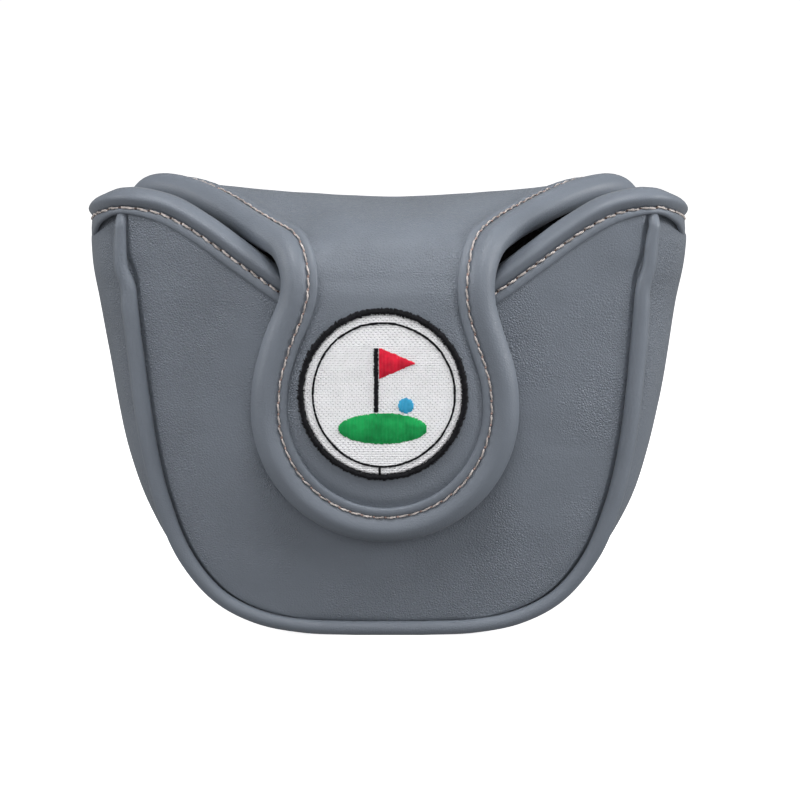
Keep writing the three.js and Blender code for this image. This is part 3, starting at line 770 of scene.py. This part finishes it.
def make_world():
    """White all round to the camera. As light it is a soft fill, a little dimmer overhead than low down."""
    world = bpy.data.worlds.new("studio")
    world.use_nodes = True
    tree = world.node_tree
    back = tree.nodes["Background"]
    split = tree.nodes.new("ShaderNodeSeparateXYZ")
    place = tree.nodes.new("ShaderNodeTexCoord")
    height = tree.nodes.new("ShaderNodeMapRange")
    path = tree.nodes.new("ShaderNodeLightPath")
    seen = tree.nodes.new("ShaderNodeMath")
    seen.operation = "MAXIMUM"
    for socket, value in (("From Min", -0.6), ("From Max", 0.9), ("To Min", 0.33), ("To Max", 0.25)):
        height.inputs[socket].default_value = value
    tree.links.new(place.outputs["Generated"], split.inputs[0])
    tree.links.new(split.outputs["Z"], height.inputs["Value"])
    tree.links.new(height.outputs[0], seen.inputs[0])
    tree.links.new(path.outputs["Is Camera Ray"], seen.inputs[1])
    tree.links.new(seen.outputs[0], back.inputs["Strength"])
    back.inputs["Color"].default_value = (1, 1, 1, 1)
    bpy.context.scene.world = world
    bpy.context.scene.view_settings.view_transform = "Standard"


def make_lights():
    middle = (0, 0, 0.05)
    area_light("key", (0.04, -0.26, 0.58), middle, 0.35, 2.35)
    area_light("front", (0, -1.2, 0.45), middle, 0.7, 2.8)
    area_light("right", (1.3, -0.3, 0.5), middle, 0.7, 13)
    area_light("left", (-1.3, -0.4, 0.6), middle, 0.7, 8.5)


# ---- The pouch ----
def seam_drop(gap):
    """How far a face lies below its own surface at a distance from a seam. Past the seam it goes on down."""
    inside = np.clip(gap, 0, None)
    past = 1.3 * np.clip(gap, None, 0)
    return past - 0.8 * np.exp(-(inside / 0.45) ** 2) - 0.3 * np.exp(-(inside / 3) ** 2)


def panel_relief(points, u, v):
    gap = np.minimum((1 - np.abs(u)) * PANEL_HALF, (1 - v) * PANEL_RUN)
    undulation = 0.22 * waves(points, 34, 3) + 0.08 * waves(points, 13, 5)
    return seam_drop(gap) + undulation * smooth(gap / 9)


def front_relief(points, u, v):
    """The panel's relief, with one crease at the right and a fan of short ones under the rim at the left."""
    total = panel_relief(points, u, v)
    total += crease(points, (33, 44.5), (50, 43.2), 0.8, 0.12)
    for k in range(11):
        x, z = -53 + 2.3 * k, 85 - 1.6 * k
        lean = 3.0 - 0.45 * k
        total += crease(points, (x, z), (x + 4.5 + 0.3 * k, z + lean), 0.5, 0.10)
    return total


def edge_steps(reach, inner, rim, count):
    """Even steps across a sheet from -reach to reach, finer towards both edges."""
    fine = np.linspace(inner, reach, rim)
    return np.concatenate([-fine[::-1], np.linspace(-inner, inner, count)[1:-1], fine])


def make_pouch():
    us = edge_steps(1.03, 0.92, 20, 130)
    vs = np.concatenate([[-0.03, -0.015], np.linspace(0, 0.93, 90), np.linspace(0.935, 1.02, 18)])
    face = under_rim(panel(-1, rim_z))
    front = sheet_piece("front_leather", face, us, vs, -LEATHER, 0, leather, front_relief)
    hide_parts("front_panel")

    def gusset_relief(points, t, v):
        gap = (1 - np.abs(v)) * GUSSET_HALF
        return 0.7 * seam_drop(gap) + 0.22 * waves(points, 28, 8) * smooth(gap / 5)

    ts = np.concatenate([np.linspace(-0.012, 0.36, 104), np.linspace(0.365, 0.635, 70),
                         np.linspace(0.64, 1.012, 104)])
    vs = edge_steps(1.06, 0.84, 9, 26)
    face = gusset_face
    gusset = sheet_piece("gusset_leather", face, ts, vs, -LEATHER, 0, leather, gusset_relief)
    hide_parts("gusset")
    for piece in (front, gusset):
        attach(piece, "pouch")

    for side, name in ((-1, "front"), (1, "back")):
        piping = make_piping(side, name)
        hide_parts(name + "_piping")
        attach(piping, "pouch")

    make_pouch_lining()


def make_piping(side, name):
    """The piping round one panel. Its ends run on up and in, under the rim or the flap, and are rounded."""
    extra = 16
    t = np.linspace(0.0, 1.0, 460)
    s = 1 - np.abs(2 * t - 1)
    hand = np.where(t < 0.5, -1.0, 1.0)
    x0, z0 = on_outline(s)
    x1, z1 = on_outline(s, 1.0)
    out = unit(xyz(hand * (x1 - x0), 0 * x0, z1 - z0))
    radius = welt_radius(z0)
    origin = xyz(hand * (x0 - pulled_in(hand, z0)), side * half_depth(z0), z0) + out * welt_out(z0)[:, None]
    radius = radius + 0.05 * waves(origin, 14, 21 + side) * smooth(z0 / 12)
    rise = np.linspace(5.2 if side < 0 else 0.9, 0, extra, endpoint=False)
    ends = [origin[[k]] + rise[:, None] * [0, 0, 1.0] for k in (0, -1)]
    origin = np.vstack([ends[0], origin, ends[1][::-1]])
    tuck = smooth((origin[:, 2] - 94) / 5)
    origin -= tuck[:, None] * xyz(0.8 * np.sign(origin[:, 0]), 1.9 * side, 0)
    out = np.pad(out, ((extra, extra), (0, 0)), mode="edge")
    radius = np.pad(radius, extra, mode="edge")
    run = distances(origin)
    radius = radius * rounded_end(np.minimum(run, run[-1] - run), 1.4)
    angle = np.linspace(0, TAU, 20, endpoint=False)
    section = radius[:, None, None] * np.stack([np.cos(angle), np.sin(angle)], -1)[None]
    frames = (origin, out, np.tile([0.0, 1.0, 0.0], (len(origin), 1)))
    return sweep(name + "_welt", frames, section, smooth_leather)


def make_pouch_lining():
    near, far = -WALL, -WALL + PLUSH

    def fuzz(points, u, v):
        return 0.18 * waves(points, 3.2, 31, 16) + 0.2 * waves(points, 12, 32)

    us = np.linspace(-0.985, 0.985, 90)
    vs = np.linspace(0.015, 0.985, 70)
    for side, top, name in ((-1, rim_z, "front"), (1, back_z, "back")):
        face = panel(side, top)
        piece = sheet_piece(name + "_plush", face, us, vs, -side * near, -side * far, plush, fuzz)
        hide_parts(name + "_lining")
        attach(piece, "pouch")
    ts = np.linspace(0.01, 0.99, 220)
    vs = np.linspace(-0.68, 0.68, 30)
    piece = sheet_piece("gusset_plush", gusset_face, ts, vs, near, far, plush, fuzz)
    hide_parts("gusset_lining")
    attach(piece, "pouch")


def make_rim():
    origin, inward, normal, s = rim_frames(360)
    from_end = np.minimum(s, s[-1] - s)
    wider = 2.2 * np.exp(-((from_end - 15) / 6.5) ** 2) - 0.8 * np.exp(-((from_end - 31) / 7) ** 2)
    section = binding_section(RIM_BAND, s, 41, wider)
    section[..., 1] *= rounded_end(from_end, 3)[:, None]
    rim = sweep("rim_roll", (origin, inward, normal), section, smooth_leather)
    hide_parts("rim_binding")
    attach(rim, "pouch")
    outside = 1 if normal[len(normal) // 2, 1] < 0 else -1
    frames = (origin, inward, normal, s)
    stitches = stitch_row("rim_stitches", frames, RIM_BAND, RIM_THREAD_R, knot_hole_shade, outside, 0.012, 0.988)
    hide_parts("rim_stitching")
    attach(stitches, "pouch")


# ---- The flap, with its back panel ----
# Where each bend begins and ends, in the frame's metres.
LIFT = ((0, 0.0250, 0.0895), (0, 0.0225, 0.0945))
PEEL = ((0, -0.0184, 0.0920), (0, -0.0236, 0.0859))
MIDWAY = 0.46  # how far over the mouth the rear sheet ends and the front one begins


def back_and_bridge(inset):
    """One sheet: v from -1 at the back panel's lower seam to 0 at the hinge and on over the mouth."""
    back = panel(1, back_z)
    over = flap_sheet(inset)

    def surface(u, v):
        low = back(u, np.clip(-v, 0, None))
        high = over(u, np.clip(v, 0, 1)) + normals(over, u, np.clip(v, 0.01, 1)) * FLAP_WALL / 2
        return lerp(low, high, smooth((v + 0.035) / 0.1)[..., None])
    return surface


def make_flap():
    inset = FLAP_BAND["stitch"] + 0.5
    over = flap_sheet(inset)
    half = FLAP_WALL / 2

    def soft(points, u, v):
        return 0.16 * waves(points, 30, 51) + 0.06 * waves(points, 11, 52)

    def puffed(points, u, v):
        """The tongue's leather stands a little proud, and dips to its binding all round."""
        x, z = points[..., 0] - DISC_HANG[0], points[..., 2] - DISC_HANG[2]
        beside = (1 - np.abs(u)) * TONGUE_HALF
        below = DISC_R - inset - np.hypot(x, z - DISC_Z)
        gap = np.clip(np.where(z < DISC_Z, below, beside) - 1.5, 0, None)
        return soft(points, u, v) + (0.55 - 0.7 * np.exp(-(gap / 1.5) ** 2)) * smooth((v - 0.9) / 0.3)

    def back_relief(points, u, v):
        below = smooth(-v / 0.05)
        return panel_relief(points, u, -v) * below + soft(points, u, v) * (1 - below)

    us = edge_steps(1.03, 0.92, 20, 110)
    vs = np.concatenate([np.linspace(-1.02, -0.935, 18), np.linspace(-0.93, -0.06, 60),
                         np.linspace(-0.05, 0.08, 16), np.linspace(0.09, MIDWAY, 40)])
    surface = back_and_bridge(inset)
    u, v = np.meshgrid(us, vs)
    base = surface(u, v)
    out = normals(surface, u, v)
    out = np.where(((out[..., 1] + out[..., 2]) < 0)[..., None], -out, out)  # back or up all over the sheet
    lift = back_relief(base, u, v)
    outer = base + out * lift[..., None]
    inner = base + out * (lift - LEATHER)[..., None]
    back = slab("back_leather", outer, inner, leather)
    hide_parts("back_panel", "bridge_leather")
    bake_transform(back)

    vs = np.concatenate([np.linspace(MIDWAY, 1, 60), np.linspace(1.01, 2, 100)])
    us = np.linspace(-1, 1, 90)
    tongue = sheet_piece("tongue_skin", over, us, vs, half - LEATHER, half, leather, puffed)
    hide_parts("tongue_leather")
    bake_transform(tongue)

    def fuzz(points, u, v):
        return 0.15 * waves(points, 3.2, 33, 16)

    us = np.linspace(-1, 1, 80)
    vs = np.linspace(0.015, MIDWAY, 40)
    rear = sheet_piece("bridge_plush", over, us, vs, -half, FLAP_PLUSH - half, plush, fuzz)
    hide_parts("bridge_lining")
    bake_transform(rear)
    vs = np.concatenate([np.linspace(MIDWAY, 1, 50), np.linspace(1.01, 2, 70)])
    ahead = sheet_piece("tongue_plush", over, us, vs, -half, FLAP_PLUSH - half, plush, fuzz)
    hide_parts("tongue_lining")
    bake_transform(ahead)
    make_flap_binding()


def make_flap_binding():
    origin, inward, normal, s = flap_frames(0.66)
    section = binding_section(FLAP_BAND, s, 61)
    section[..., 1] *= rounded_end(np.minimum(s, s[-1] - s), 2.5)[:, None]
    cut = int(np.searchsorted(s, flap_edge.length * MIDWAY * 0.98))
    last = len(s) - 1 - cut
    lift = ("pouch", "bridge", *LIFT)
    peel = ("bridge", "tongue", *PEEL)
    parts = {
        "left": (slice(0, cut + 1), lift, "bridge_binding_left", "bridge_stitching_left"),
        "middle": (slice(cut, last + 1), peel, "tongue_binding", "tongue_stitching"),
        "right": (slice(last, len(s)), lift, "bridge_binding_right", "bridge_stitching_right"),
    }
    for name, (part, joint, binding, stitching) in parts.items():
        frames = (origin[part], inward[part], normal[part])
        roll = sweep("flap_roll_" + name, frames, section[part], smooth_leather)
        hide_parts(binding)
        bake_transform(roll)
        stitches = stitch_row("flap_stitches_" + name, (*frames, s[part]), FLAP_BAND, FLAP_THREAD_R, bead_hole_shade)
        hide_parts(stitching)
        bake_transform(stitches)


# ---- The patch: x to the right, y up, z off the leather, in millimetres from the patch's middle ----
PATCH_TILT = math.pi / 2 + math.atan(TONGUE_LEAN)
PATCH_UP = np.array([0, math.cos(PATCH_TILT), math.sin(PATCH_TILT)])
PATCH_OUT = np.array([0, -math.sin(PATCH_TILT), math.cos(PATCH_TILT)])
SATIN_LOW = PATCH["thick"]
SATIN_STEP = 0.24
TWILL_GRID = (0.132, 0.088)
TWILL_ROW = 0.53
TWILL_STEP = 1.06
RING_R = 15.95


def on_patch(x, y, z):
    middle = np.array([PATCH["x"], tongue_y(0, PATCH["z"]) - FLAP_WALL / 2, PATCH["z"]])
    x, y, z = np.broadcast_arrays(x, y, z)
    return middle + xyz(x, 0, 0) + PATCH["tall"] * y[..., None] * PATCH_UP + z[..., None] * PATCH_OUT


def open_edges(faces):
    """The edges that only one of the quads has, each in that quad's own direction."""
    single = {}
    for a, b in np.concatenate([faces[:, [k, (k + 1) % 4]] for k in range(4)]).tolist():
        if (b, a) in single:
            del single[b, a]
        else:
            single[a, b] = True
    return single


def make_twill():
    """A round of fill embroidery: level rows of stitches in brick order, each dipping at its ends, the dips
    given a darker grey as painted shade.
    """
    radius = PATCH["r"] - 1.1
    x, y = np.meshgrid(*(np.arange(-radius, radius + 0.01, step) for step in TWILL_GRID))
    row = np.floor(y / TWILL_ROW)
    wander = 0.10 * np.sin(x * 0.9 + y * 0.7) + 0.08 * np.sin(y * 2.1 - x * 0.4)
    start = (x + wander) / TWILL_STEP + 0.5 * np.mod(row, 2) + 0.06 * np.sin(row * 12.9898)
    end = np.abs(np.mod(start, 1) - 0.5) * 2
    across = np.abs(np.mod(y / TWILL_ROW, 1) - 0.5) * 2
    hole = smooth((end - 0.57) / 0.22) * smooth((across - 0.4) / 0.3)
    height = PATCH["thick"] + 0.05 * (1 - across**2) + 0.05 * (1 - end**4) - 0.28 * hole
    far = np.hypot(x, y)
    height = height - 0.5 * smooth((far - radius + 0.7) / 0.7)
    keep = far <= radius
    index = -np.ones(x.shape, int)
    index[keep] = np.arange(keep.sum())
    square = np.stack([index[:-1, :-1], index[:-1, 1:], index[1:, 1:], index[1:, :-1]], -1).reshape(-1, 4)
    faces = square[(square >= 0).all(1)]
    top = on_patch(x[keep], y[keep], height[keep])
    bottom = on_patch(x[keep], y[keep], 0.0)
    size = len(top)
    walls = [[b, a, a + size, b + size] for a, b in open_edges(faces)]
    sheets = faces.tolist() + (faces[:, ::-1] + size).tolist() + walls
    piece = make_mesh("twill", np.concatenate([top, bottom]), sheets, twill_white)
    # The pits at the stitch ends take the darker grey: painted shade.
    piece.data.materials.append(twill_pit_shade)
    pit_shade_faces = (hole[keep][faces].mean(1) > 0.5).astype(int)
    piece.data.polygons.foreach_set("material_index", [*pit_shade_faces, *np.zeros(len(sheets) - len(pit_shade_faces), int)])
    return patch_piece(outward(piece), "patch_twill")


def patch_piece(piece, node):
    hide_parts(node)
    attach(piece, "tongue")
    return piece


def laid_threads(name, ends, low, high, radius, material, node, bend):
    """Short threads laid side by side from place to place over the patch, each a flattened arch."""
    sides, rings = 6, 7
    angle = np.linspace(0, TAU, sides, endpoint=False)
    share = np.linspace(0, 1, rings)
    blocks, faces = [], []
    for (x0, y0), (x1, y1) in ends:
        flat = unit(np.array([y0 - y1, x1 - x0]))
        x, y = lerp(x0, x1, share), lerp(y0, y1, share)
        z = low + (high - low + rng.normal(0, 0.02)) * np.sin(math.pi * share) ** bend
        wide = radius * (1 + rng.normal(0, 0.06))
        ring_x = x[:, None] + flat[0] * wide * np.cos(angle)[None]
        ring_y = y[:, None] + flat[1] * wide * np.cos(angle)[None]
        ring_z = z[:, None] + 0.8 * wide * np.sin(angle)[None]
        faces += tube_faces(rings, sides, len(blocks) * sides * rings)
        blocks.append(on_patch(ring_x, ring_y, ring_z).reshape(-1, 3))
    piece = make_mesh(name, np.concatenate(blocks), faces, material)
    return patch_piece(outward(piece), node)


def ragged(amount):
    return rng.normal(0, amount)


def make_border():
    """The thick overlocked edge: threads laid across it all round, a little uneven."""
    ends = []
    count = 420
    lean = 0.012
    for k in range(count):
        a = TAU * k / count
        inner = PATCH["r"] - 1.42 + ragged(0.11)
        outer = PATCH["r"] + 0.04 + ragged(0.11)
        ends.append(((inner * math.cos(a), inner * math.sin(a)),
                     (outer * math.cos(a + lean), outer * math.sin(a + lean))))
    laid_threads("border_threads", ends, 0.25, 1.45, 0.165, black, "patch_border", 0.45)


def make_ring():
    """One thin line of run stitches inside the border, and the tail where it was started."""
    count = 50
    places = []
    for k in range(count):
        a = TAU * k / count
        r = RING_R + 0.10 * math.sin(3 * a + 1) + ragged(0.04)
        places.append((r * math.cos(a) + 0.15, r * math.sin(a)))
    tail = ((-0.75, -16.0), (-0.68, -17.7))
    ends = [*zip(places, places[1:] + places[:1]), tail]
    low, high = SATIN_LOW - 0.05, SATIN_LOW + 0.22
    laid_threads("ring_thread", ends, low, high, 0.25, black, "patch_ring", 0.3)


def satin_rows(low, high, span, upright=False):
    """Threads across a shape, from its low side to its high side. span(p) gives the two ends at a place p."""
    ends = []
    place = low
    while place <= high:
        a, b = span(place)
        a, b = a + ragged(0.07), b + ragged(0.07)
        jog = ragged(0.02)
        ends.append(((place, a), (place + jog, b)) if upright else ((a, place), (b, place + jog)))
        place += SATIN_STEP
    return ends


def make_motif():
    """A golf green with its flag and a ball, each part in satin stitch."""
    def green_span(x):
        half = 3.4 * math.sqrt(max(1 - (x / 10) ** 2, 0.01))
        return -7.5 - half, -7.5 + half

    def pennant_span(x):
        share = (x + 0.7) / 8.1
        return lerp(3.6, 7.0, share), lerp(10.4, 7.0, share)

    def ball_span(x):
        half = math.sqrt(max(1.7**2 - (x - 5.2) ** 2, 0.05))
        return -2.4 - half, -2.4 + half

    shapes = {
        "green": (satin_rows(-9.8, 9.8, green_span, upright=True), green, "green_thread"),
        "pole": (satin_rows(-3.7, 10.4, lambda _: (-2.0, -1.0)), black, "black_thread"),
        "pennant": (satin_rows(-0.65, 7.1, pennant_span, upright=True), red, "red_thread"),
        "ball": (satin_rows(3.6, 6.8, ball_span, upright=True), blue, "blue_thread"),
    }
    for name, (ends, material, slot) in shapes.items():
        laid_threads(name + "_satin", ends, SATIN_LOW + 0.02, SATIN_LOW + 0.38, 0.16, material,
                     "patch_" + name, 0.4)


def make_patch():
    make_twill()
    make_border()
    make_ring()
    make_motif()


# ---- Hidden pieces keep their CAD shape ----
HIDDEN = {"foam": foam, "cord": cord, "magnet": nickel}


def finish_hidden():
    for name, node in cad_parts.items():
        kind = next((material for word, material in HIDDEN.items() if word in name), None)
        if kind is not None:
            node.data.materials.clear()
            node.data.materials.append(kind)


make_camera()
make_floor()
make_world()
make_lights()
make_pouch()
make_rim()
make_flap()
make_patch()
finish_hidden()
